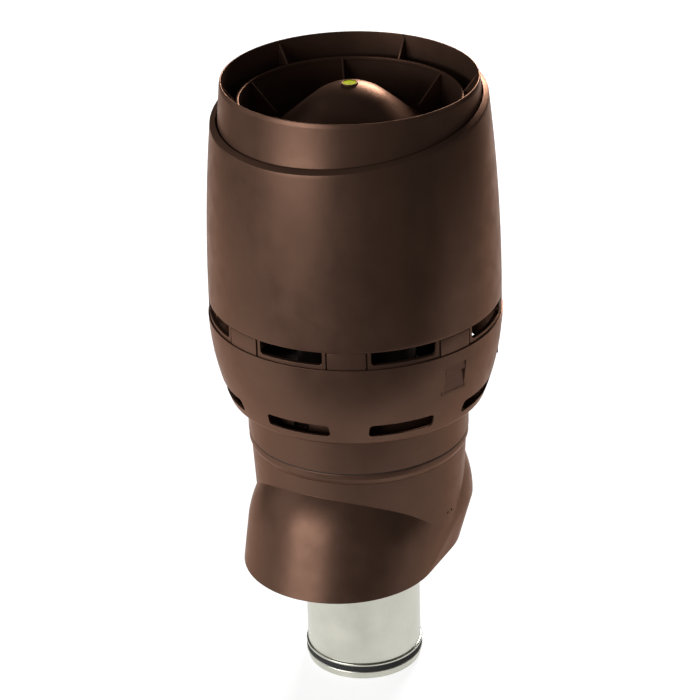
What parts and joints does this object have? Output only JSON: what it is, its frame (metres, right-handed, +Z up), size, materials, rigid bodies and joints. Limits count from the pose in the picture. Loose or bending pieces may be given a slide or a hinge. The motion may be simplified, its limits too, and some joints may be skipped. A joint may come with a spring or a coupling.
{
  "type": "roof vent pipe",
  "caption": "Insulated roof exhaust pipe: steel duct in a plastic casing with a roof skirt, under a round lift-off hood with drain slots, side windows and a rain dome.",
  "frame": {"origin": "on the axis, at the lower end of the steel duct", "axes": "+Z up along the duct, front (the down-slope side, where the skirt reaches furthest) at -Y, +X to the right seen from the front"},
  "size_m": [0.3095, 0.3098, 0.6816],
  "materials": {
    "brown_plastic": "satin",
    "dark_plastic": "satin",
    "duct_steel": "satin",
    "rubber": "matte",
    "foam": "matte",
    "level_green": "gloss",
    "bubble": "gloss",
    "clear_lens": "gloss",
    "screw_steel": "satin"
  },
  "bodies": {
    "pipe": {"casing_skirt": "brown_plastic", "adapter_collar": "brown_plastic", "collar_gasket": "rubber", "inner_duct": "duct_steel", "duct_seal": "rubber", "insulation_left": "foam", "insulation_right": "foam", "lower_closing_ring": "dark_plastic", "upper_closing_ring": "dark_plastic"},
    "hood": {"hood_bowl": "brown_plastic", "hood_socket": "brown_plastic", "window_ring": "brown_plastic", "hood_shell": "brown_plastic", "top_collar": "brown_plastic", "inner_ring": "brown_plastic", "outer_ribs": "brown_plastic", "inner_ribs": "brown_plastic", "dome": "brown_plastic", "air_funnel": "dark_plastic", "funnel_struts": "dark_plastic", "level_housing": "brown_plastic", "level_liquid": "level_green", "level_bubble": "bubble", "level_lens": "clear_lens", "dome_screws": "screw_steel"},
    "front_latch_body": {"front_latch": "dark_plastic"},
    "rear_latch_body": {"rear_latch": "dark_plastic"}
  },
  "joints": [
    {"name": "hood_lift", "type": "slide", "parent": "pipe", "child": "hood", "axis": [0, 0, 1], "range_m": [0, 0.19]},
    {"name": "front_latch_slide", "type": "slide", "parent": "pipe", "child": "front_latch_body", "axis": [-0.0558, -0.9984, 0], "range_m": [0, 0.0045]},
    {"name": "rear_latch_slide", "type": "slide", "parent": "pipe", "child": "rear_latch_body", "axis": [0.0558, 0.9984, 0], "range_m": [0, 0.0045]}
  ]
}
